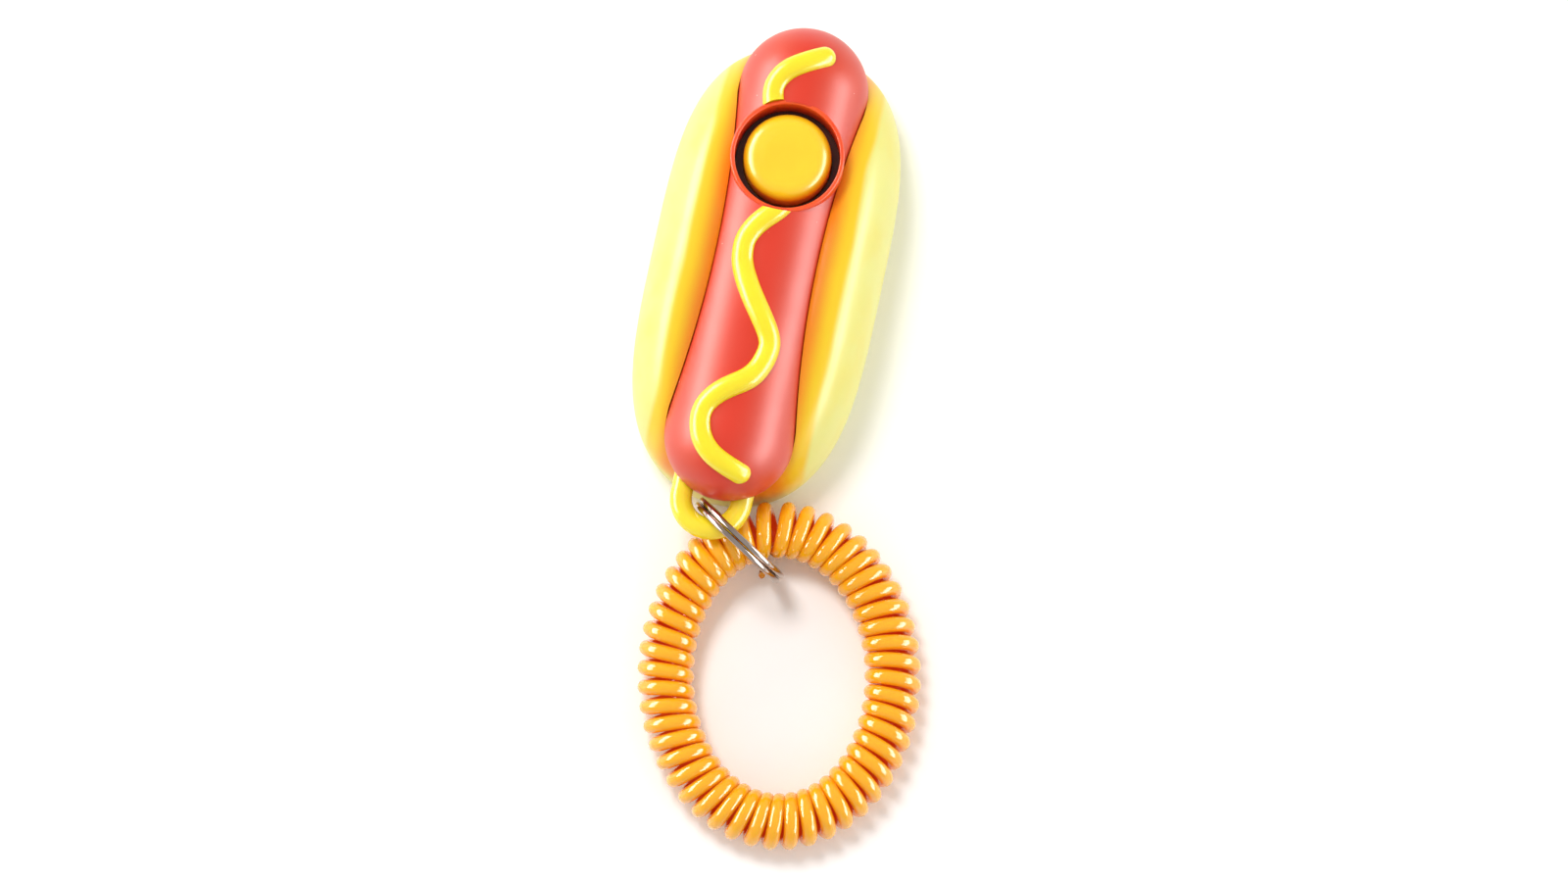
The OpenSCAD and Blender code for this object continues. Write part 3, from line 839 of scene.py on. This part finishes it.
@dataclass
class Filling:
    """The red cover shaped like a sausage, with the rim of the button's well.

    Attributes:
        case: the case's sizes.
        wall: thickness of the cover.
        shoulder: how softly the waist's flat sides turn into the round top.
        sides: number of sides of each section.
        rows: number of gaps between the sections.
        underside: height of its lower edge.
        below: half width and half length of what is cut away under that, and how deep it starts.
        well_gap: gap between the well's bore and the hole for it.
        slot_gap: gap round the loop's root.
        rim_low: height of the rim's lower edge.
        rim_edges: fillets of the rim's outer and inner edges.
    """

    case: CaseSizes
    wall: float = 1.7 * MM
    shoulder: float = 0.2 * MM
    sides: int = 128
    rows: int = 130
    underside: float = 6.1 * MM
    below: tuple[float, float, float] = (20 * MM, 60 * MM, -5 * MM)
    well_gap: float = 0.3 * MM
    slot_gap: float = 0.12 * MM
    rim_low: float = 13.5 * MM
    rim_edges: tuple[float, float] = (0.3 * MM, 0.22 * MM)

    def ring(self, y: float, inset: float) -> Points:
        """Section of the sausage at a station, narrowed softly to the waist."""
        case = self.case
        radius = case.sausage_r - inset
        over = max(0.0, abs(y) - case.cap_y)
        r = math.sqrt(max(radius**2 - over**2, 0))
        limit = case.waist(y) - inset
        points = []
        for i in range(self.sides):
            a = math.tau * i / self.sides
            x, z = r * math.cos(a), r * math.sin(a)
            spare = limit - abs(x)
            soft = (spare + math.sqrt(spare**2 + self.shoulder**2)) / 2 if limit < r + self.shoulder else spare
            points.append(Vector((math.copysign(limit - soft, x), y, case.sausage_z + z)))
        return points

    def body(self, inset: float) -> Form:
        """The whole narrowed sausage, drawn in by an inset."""
        ys = stations(self.case.sausage_half - inset, self.rows, reach=0.99995)
        return loft([self.ring(y, inset) for y in ys], poles=True)

    def build(self) -> list[Piece]:
        """Builds the cover as a shell, with its well, its slot for the loop and its rim."""
        case = self.case
        cover = as_object(self.body(0.0), "sausage_cover_skin")
        half_x, half_y, depth = self.below
        below = prism(rectangle(half_x, half_y), depth, self.underside)
        well = cylinder(case.well_r + self.well_gap, 0.0, case.above, y=case.button_y)
        slot = LanyardLoop(case, spare=self.slot_gap).solid()
        cut(cover, [self.body(self.wall), below, well, slot])
        smooth(cover, degrees=34)
        dress(cover, SAUSAGE_ABS, "case", ["sausage_cover"])
        corners = [
            (case.well_r, self.rim_low, 0.0),
            (case.rim_r, self.rim_low, 0.0),
            (case.rim_r, case.rim_top, self.rim_edges[0]),
            (case.well_r, case.rim_top, self.rim_edges[1]),
        ]
        rim = as_object(lathe(rounded(corners), 0, case.button_y), "well_rim")
        smooth(rim)
        dress(rim, RIM_ABS, "case")
        return [cover, rim]


@dataclass
class MustardBead:
    """A raised bead of mustard that wanders along the sausage.

    Attributes:
        case: the case's sizes.
        path: places along its middle: X in millimetres and the share of the way from the rim to the tip.
        side: one for the button end, minus one for the other.
        width: the bead's width.
        sink: depth of its middle under the sausage's surface.
        easing: how many times its line is evened out.
        arc: number of steps over the bead.
        strip: number of steps across its underside.
        steepest: sine of the steepest start of that arc.
        end_rows: number of sections in each round end.
        end_rise: how far the ends' tips stay above the sausage.
        contact: gap between the bead's underside and the sausage.
        rim_gap: gap between the bead and the rim.
    """

    case: CaseSizes
    path: Sequence[tuple[float, float]]
    side: int
    width: float = 3.65 * MM
    sink: float = 0.4 * MM
    easing: int = 30
    arc: int = 26
    strip: int = 6
    steepest: float = 0.97
    end_rows: int = 9
    end_rise: float = 0.06 * MM
    contact: float = 0.02 * MM
    rim_gap: float = 0.01 * MM

    def on_sausage(self, x: float, y: float, lift: float) -> Vector:
        """A place on the sausage's surface, raised along its normal."""
        case = self.case
        over = max(0.0, abs(y) - case.cap_y)
        r = case.sausage_r + lift
        return Vector((x, y, case.sausage_z + math.sqrt(r * r - x * x - over * over)))

    def outward(self, place: Vector) -> Vector:
        """The sausage's normal at a place."""
        foot = Vector((0, max(-self.case.cap_y, min(self.case.cap_y, place.y)), self.case.sausage_z))
        return (place - foot).normalized()

    def middle(self, steps: int = 10) -> list[Vector]:
        """The bead's middle as a smooth line through its places."""
        case = self.case
        rim_y = case.button_y + self.side * case.rim_r
        tip_y = self.side * case.sausage_half
        places = [Vector((x * MM, rim_y + t * (tip_y - rim_y))) for x, t in self.path]
        line = []
        last = len(places) - 1
        for i in range(last):
            p0, p1, p2, p3 = places[max(i - 1, 0)], places[i], places[i + 1], places[min(i + 2, last)]
            for k in range(steps):
                t = k / steps
                line.append(
                    0.5 * (2 * p1 + (p2 - p0) * t + (2 * p0 - 5 * p1 + 4 * p2 - p3) * t**2
                           + (3 * p1 - p0 - 3 * p2 + p3) * t**3)
                )
        line.append(places[last])
        for _ in range(self.easing):
            line[1:-1] = [(p + q * 2 + r) / 4 for p, q, r in zip(line, line[1:], line[2:])]
        return [self.on_sausage(p.x, p.y, -self.sink) for p in line]

    def ring(self, middle: Vector, along: Vector, radius: float) -> Points:
        """Section of the bead: an arc over the sausage and a strip that lies on it."""
        normal = self.outward(middle)
        aside = along.cross(normal).normalized()
        up = aside.cross(along).normalized()
        low = math.asin(min(self.steepest, self.sink / radius))
        arc, strip = self.arc, self.strip
        points = []
        for k in range(arc + 1):
            a = low + (math.pi - 2 * low) * k / arc
            points.append(middle + (aside * math.cos(a) + up * math.sin(a)) * radius)
        for j in range(1, strip):
            points.append(middle + aside * radius * math.cos(low) * (2 * j / strip - 1) + up * self.sink)
        for i in [0, arc, *range(arc + 1, arc + strip)]:
            foot = Vector((0, max(-self.case.cap_y, min(self.case.cap_y, points[i].y)), self.case.sausage_z))
            points[i] = foot + (points[i] - foot).normalized() * (self.case.sausage_r + self.contact)
        return points

    def build(self, name: str, node: str) -> Piece:
        """Lofts the bead with round ends and cuts it flush with the rim."""
        line = self.middle()
        radius = self.width / 2
        last = len(line) - 1
        widest = math.acos((self.sink + self.end_rise) / radius)
        turns = [widest * k / self.end_rows for k in range(1, self.end_rows + 1)]
        start, end = (line[0] - line[1]).normalized(), (line[last] - line[last - 1]).normalized()
        rings = [
            self.ring(line[0] + start * radius * math.sin(a), -start, radius * math.cos(a))
            for a in reversed(turns)
        ]
        for i, place in enumerate(line):
            along = (line[min(i + 1, last)] - line[max(i - 1, 0)]).normalized()
            rings.append(self.ring(place, along, radius))
        rings += [self.ring(line[last] + end * radius * math.sin(a), end, radius * math.cos(a)) for a in turns]
        bead = as_object(loft(rings, poles=True), name)
        cut(bead, [cylinder(self.case.rim_r + self.rim_gap, 0.0, self.case.above, y=self.case.button_y)])
        smooth(bead, degrees=50)
        return dress(bead, MUSTARD_PVC, "case", [node])


UPPER_PATH = [(2.4, 0.569), (-0.5, 0.445), (-2.9, 0.321), (-4.1, 0.168), (-4.2, 0.029), (-3.6, -0.117)]
LOWER_PATH = [
    (1.5, -0.049), (0.2, -0.004), (-2.1, 0.049), (-3.5, 0.108), (-3.6, 0.155), (-3.2, 0.21), (-1.4, 0.287),
    (0.7, 0.355), (3.0, 0.43), (3.5, 0.486), (2.1, 0.583), (-1.0, 0.631), (-3.6, 0.684), (-4.7, 0.746),
    (-3.9, 0.821), (-1.9, 0.87), (0.6, 0.896), (3.0, 0.912),
]


@dataclass
class PushButton:
    """The thumb button: a domed cap with a rounded edge, a skirt with a flange, and a stem.

    Attributes:
        case: the case's sizes.
        wall: thickness of the skirt.
        stem: radius of the stem.
        skirt: height of the skirt's lower edge.
        flange: thickness of the flange.
        cap: thickness of the cap.
    """

    case: CaseSizes
    wall: float = 1.4 * MM
    stem: float = 2 * MM
    skirt: float = 15.5 * MM
    flange: float = 1.2 * MM
    cap: float = 1.9 * MM

    def build(self) -> Piece:
        """Turns the button's profile."""
        case, skirt, stem = self.case, self.skirt, self.stem
        low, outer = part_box("button")[0].z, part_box("button")[1].x
        r, inner, top = case.button_r, case.button_r - self.wall, case.button_top
        # Radius, height and fillet of each corner.
        corners = [
            (0.0, top, 0.0),
            (r * 0.5, top - 0.05 * MM, 4 * MM),
            (r, top - 0.3 * MM, 2.5 * MM),
            (r, skirt + self.flange, 0.15 * MM),
            (outer, skirt + self.flange, 0.2 * MM),
            (outer, skirt, 0.2 * MM),
            (inner, skirt, 0.2 * MM),
            (inner, top - self.cap, 0.3 * MM),
            (stem, top - self.cap, 0.4 * MM),
            (stem, low, 0.5 * MM),
            (0.0, low, 0.0),
        ]
        button = as_object(lathe(rounded(corners, steps=8), 0, case.button_y), "push_button")
        smooth(button)
        return dress(button, BUTTON_ABS, "button", ["button"])


@dataclass
class LanyardLoop:
    """The moulded loop at the tail: half a ring, two straight sides and a root inside the cover.

    Attributes:
        case: the case's sizes.
        spare: how much thicker it is made, as when it is the shape of its slot.
        steps: number of steps in each half turn.
        sides: number of sides of the bar.
        root_in: how far the root's middle lies inside its end, in bar radii.
        root_bow: how far the root bows out, in bar radii.
    """

    case: CaseSizes
    spare: float = 0.0
    steps: int = 40
    sides: int = 40
    root_in: float = 1.2
    root_bow: float = 0.6

    def solid(self) -> Form:
        """The loop as one closed bar that runs back on itself inside the cover."""
        low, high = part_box("lanyard_loop")
        bar = (high.z - low.z) / 2
        x, z = (low.x + high.x) / 2, (low.z + high.z) / 2
        outer = (high.x - low.x) / 2
        mid = outer - bar
        y = low.y + outer
        back = high.y - bar * self.root_in
        r = bar + self.spare
        around = [math.tau * i / self.sides for i in range(self.sides)]
        rings = []
        for start, middle, reach in ((math.pi, y, mid), (0.0, back, bar * self.root_bow)):
            for k in range(self.steps + 1):
                a = start + math.pi * k / self.steps
                place = Vector((x + mid * math.cos(a), middle + reach * math.sin(a), z))
                out = Vector((math.cos(a), math.sin(a), 0))
                rings.append([place + out * r * math.cos(b) + Vector((0, 0, r * math.sin(b))) for b in around])
        return loft(rings, closed=True)

    def build(self) -> Piece:
        """Builds the loop."""
        loop = as_object(self.solid(), "tail_loop")
        smooth(loop, degrees=60)
        return dress(loop, LOOP_PVC, "case", ["lanyard_loop"])


# --- Ring and coil ---


@dataclass
class SplitRing:
    """A double-wound ring of nickel-plated wire, with its two square ends.

    Attributes:
        place: its middle.
        turn: its turn in plan, in degrees.
        lean: how far it leans from upright, in degrees.
        outer: its outer radius.
        wire: the wire's height.
        pitch: distance between its two turns.
        width: the wire's width along the ring's axis.
        start: angle of the wire's first end, in degrees.
        crossing: angle over which it passes from one turn to the other.
        stub: angle over which its last end bends away.
        stub_off: how far that end stands off.
        short: angle by which the two turns fall short.
        steps: number of steps along the wire.
        sides: number of sides of the wire.
        squareness: power that squares the wire's section; one is round.
    """

    place: Vector
    turn: float = -32.0
    lean: float = 6.0
    outer: float = 9.1 * MM
    wire: float = 1.25 * MM
    pitch: float = 1.05 * MM
    width: float = 0.98 * MM
    start: float = 322.0
    crossing: float = 24.0
    stub: float = 9.0
    stub_off: float = 1.1 * MM
    short: float = 8.0
    steps: int = 300
    sides: int = 20
    squareness: float = 0.82

    def frame(self) -> Matrix:
        """Place of the ring: its axis is the local Z."""
        turned = Matrix.Rotation(math.radians(self.turn), 4, "Z")
        upright = Matrix.Rotation(math.radians(90 + self.lean), 4, "X")
        return Matrix.Translation(self.place) @ (turned @ upright)

    def build(self) -> Piece:
        """Winds the wire twice round, with a short crossing between the turns."""
        radius = self.outer - self.wire / 2
        sweep = 720.0 - self.short
        rings = []
        for k in range(self.steps + 1):
            turned = sweep * k / self.steps
            a = math.radians(self.start + turned)
            climb = min(1.0, max(0.0, (turned - (360 - self.crossing)) / self.crossing))
            climb = climb * climb * (3 - 2 * climb)
            bent = max(0.0, 1 - (sweep - turned) / self.stub)
            shift = self.pitch * (climb - 0.5) + self.stub_off * bent * bent * (3 - 2 * bent)
            out = Vector((math.cos(a), math.sin(a), 0))
            ring = []
            for i in range(self.sides):
                b = math.tau * i / self.sides
                c, s = math.cos(b), math.sin(b)
                across = math.copysign(abs(s) ** self.squareness, s) * self.width / 2
                high = math.copysign(abs(c) ** self.squareness, c) * self.wire / 2
                ring.append(out * (radius + high) + Vector((0, 0, shift + across)))
            rings.append(ring)
        bm = loft(rings)
        bmesh.ops.transform(bm, matrix=self.frame(), verts=bm.verts)
        ring_piece = as_object(bm, "split_ring_wire")
        smooth(ring_piece, degrees=50)
        return dress(ring_piece, RING_NICKEL, "ring", ["split_ring"])


def apart(a: float, b: float) -> float:
    """The turn from one angle to another, from minus to plus 180 degrees."""
    return (a - b + 540) % 360 - 180


@dataclass
class WristCoil:
    """A curly cord wound left-handed round an oval, whose two ends meet inside the split ring.

    Attributes:
        place: the oval's middle, on the floor.
        ring: the split ring's middle; not used.
        turn: turn of the oval in plan, in degrees.
        half_w: half width of the oval, to the middle of the coil.
        half_l: half length of the oval, to the middle of the coil.
        outer: the coil's outer diameter.
        cord: the cord's own diameter.
        turns: number of turns.
        clear: gap under the coil.
        lift: rise where it goes through the ring.
        lift_at: angle of that place on the oval, in degrees.
        lift_half: how far the rise reaches each way, in degrees.
        per_turn: number of points in each turn.
        beside_share: how much of the painted shade between the turns reaches the sides of the turns.
        spacing: places where the turns lie looser or closer: angle, reach in degrees, and change.
        fine: number of steps that the spacing is measured in.
        used: share of the oval that is wound, short of where the ends meet.
        wobbles: number of slow waves in the winding.
        wobble_sizes: least and most swing of a wave, in radians.
        wobble_counts: least and most number of waves along the cord.
        seed: number that chooses the waves.
        fading: how fast the waves set in from each end, per share of the cord.
        probe: how far apart the places lie that give the coil's direction, in degrees.
        beside_power: how narrowly the painted shade keeps to the sides of the turns.
        inside_power: the same for the inside of the coil.
    """

    place: Vector
    ring: Vector
    turn: float = 12.0
    half_w: float = 18.0 * MM
    half_l: float = 23.15 * MM
    outer: float = 9.1 * MM
    cord: float = 2.45 * MM
    turns: int = 48
    clear: float = 0.05 * MM
    lift: float = 1.85 * MM
    lift_at: float = 112.0
    lift_half: float = 75.0
    per_turn: int = 44
    beside_share: float = 0.4
    spacing: tuple[tuple[float, float, float], ...] = ((97, 9, -0.28), (124, 12, 0.16))
    fine: int = 3600
    used: float = 0.9993
    wobbles: int = 5
    wobble_sizes: tuple[float, float] = (0.03, 0.09)
    wobble_counts: tuple[int, int] = (3, 17)
    seed: int = 11
    fading: float = 12
    probe: float = 1.0
    beside_power: float = 4
    inside_power: float = 0.8

    def axis(self, a: float) -> Vector:
        """Middle of the coil at an angle of the oval, in the oval's own directions."""
        away = abs(apart(a, self.lift_at))
        swell = math.cos(math.radians(90 * away / self.lift_half)) ** 2
        height = self.outer / 2 + self.clear + (0.0 if away > self.lift_half else self.lift * swell)
        t = math.radians(a)
        return Vector((self.half_w * math.cos(t), self.half_l * math.sin(t), height))

    def closeness(self, a: float) -> float:
        """How tightly the turns lie at an angle: looser beside the ring, bunched on its other side."""
        return 1 + sum(change * math.exp(-((apart(a, at) / reach) ** 2)) for at, reach, change in self.spacing)

    def route(self) -> tuple[Points, Points, Points]:
        """The cord's centreline, and the coil's middle and direction beside each of its points."""
        helix = (self.outer - self.cord) / 2
        angles = [self.lift_at + 360 * k / self.fine for k in range(self.fine + 1)]
        outside = [self.axis(a) + self.frame(a)[1] * helix for a in angles]
        total, phases = 0.0, [0.0]
        for k in range(self.fine):
            gap = (outside[k + 1] - outside[k]).length
            total += gap * self.closeness((angles[k] + angles[k + 1]) / 2)
            phases.append(total)
        count = self.turns * self.per_turn
        line, middles, ways = [], [], []
        j = 0
        spin = Matrix.Translation(self.place) @ Matrix.Rotation(math.radians(self.turn), 4, "Z")
        rng = random.Random(self.seed)
        wobble = [
            (rng.uniform(*self.wobble_sizes), rng.randint(*self.wobble_counts), rng.uniform(0, math.tau))
            for _ in range(self.wobbles)
        ]
        for k in range(count + 1):
            share = k / count * self.used
            while j < self.fine - 1 and phases[j + 1] < share * total:
                j += 1
            part = (share * total - phases[j]) / (phases[j + 1] - phases[j])
            a = angles[j] + (angles[j + 1] - angles[j]) * part
            drift = sum(size * math.sin(n * math.tau * share + at) for size, n, at in wobble)
            fade = min(1.0, self.fading * share, self.fading * (1 - share))
            phi = -math.pi / 2 + math.tau * self.turns * share + drift * fade
            way, out, up = self.frame(a)
            middle = self.axis(a)
            point = middle + (out * math.cos(phi) + up * math.sin(phi)) * helix
            line.append(spin @ point)
            middles.append(spin @ middle)
            ways.append((spin.to_3x3() @ way).normalized())
        return line, middles, ways

    def frame(self, a: float) -> tuple[Vector, Vector, Vector]:
        """Directions at an angle of the oval: along it, outwards and up."""
        way = (self.axis(a + self.probe / 2) - self.axis(a - self.probe / 2)).normalized()
        out = way.cross(Vector((0, 0, 1))).normalized()
        return way, out, out.cross(way).normalized()

    def shade(self, mesh: bpy.types.Mesh, line: Points, middles: Points, ways: Points) -> None:
        """Marks how far each place faces the next turn or the inside of the coil, as the mask for the cord's
        painted shade and glow.

        Args:
            mesh: the cord's mesh.
            line: the cord's centreline.
            middles: the coil's middle beside each point.
            ways: the coil's direction beside each point.
        """
        tree = KDTree(len(line))
        for i, p in enumerate(line):
            tree.insert(p, i)
        tree.balance()
        marks = mesh.attributes.new(ClearCord().attribute, "FLOAT", "POINT")
        for vert in mesh.vertices:
            _, i, _ = tree.find(vert.co)
            off = (vert.co - line[i]).normalized()
            inwards = (middles[i] - line[i]).normalized()
            beside = abs(off.dot(ways[i])) ** self.beside_power
            inside = max(0.0, off.dot(inwards)) ** self.inside_power
            marks.data[vert.index].value = min(1.0, self.beside_share * beside + inside)

    def build(self) -> Piece:
        line, middles, ways = self.route()
        curve = bpy.data.curves.new("wrist_coil_line", "CURVE")
        curve.dimensions = "3D"
        curve.bevel_depth = self.cord / 2
        curve.bevel_resolution = 7
        curve.use_fill_caps = True
        spline = curve.splines.new("POLY")
        spline.points.add(len(line) - 1)
        for point, place in zip(spline.points, line):
            point.co = (*place, 1.0)
        draft = bpy.data.objects.new("coil_draft", curve)
        bpy.context.scene.collection.objects.link(draft)
        bpy.context.view_layer.update()
        mesh = bpy.data.meshes.new_from_object(draft.evaluated_get(bpy.context.evaluated_depsgraph_get()))
        bpy.data.objects.remove(draft)
        coil = bpy.data.objects.new("curly_cord", mesh)
        bpy.context.scene.collection.objects.link(coil)
        mesh.shade_smooth()
        self.shade(mesh, line, middles, ways)
        dress(coil, ClearCord(), "coil", ["wrist_coil"])
        return coil


def middle_of(node: str) -> Vector:
    """Middle of a CAD node's box."""
    low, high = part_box(node)
    return (low + high) / 2


CAD_FINISHES = {
    "base_cover": BASE_ABS,
    "guide_ring": GUIDE_ACETAL,
    "click_blade": BLADE_STEEL,
    "blade_clamp": CLAMP_NYLON,
    "clamp_screw": SCREW_ZINC,
    "case_screw_north": SCREW_ZINC,
    "case_screw_south": SCREW_ZINC,
}


def main() -> None:
    """Builds the studio, the cord and the sub-assemblies in order."""
    logging.basicConfig(level=logging.INFO, format="%(name)s: %(message)s")
    Studio().build()
    ring_place = middle_of("split_ring")
    coil_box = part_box("wrist_coil")
    coil_place = Vector(((coil_box[0].x + coil_box[1].x) / 2, (coil_box[0].y + coil_box[1].y) / 2, 0))
    WristCoil(coil_place, ring_place).build()
    SplitRing(ring_place).build()
    case = CaseSizes.from_frame()
    Bun(case).build()
    Filling(case).build()
    MustardBead(case, UPPER_PATH, 1).build("mustard_by_tip", "mustard_upper")
    MustardBead(case, LOWER_PATH, -1).build("mustard_long", "mustard_lower")
    PushButton(case).build()
    LanyardLoop(case).build()
    for node, finish in CAD_FINISHES.items():
        dress_node(node, finish)


if __name__ == "__main__":
    main()
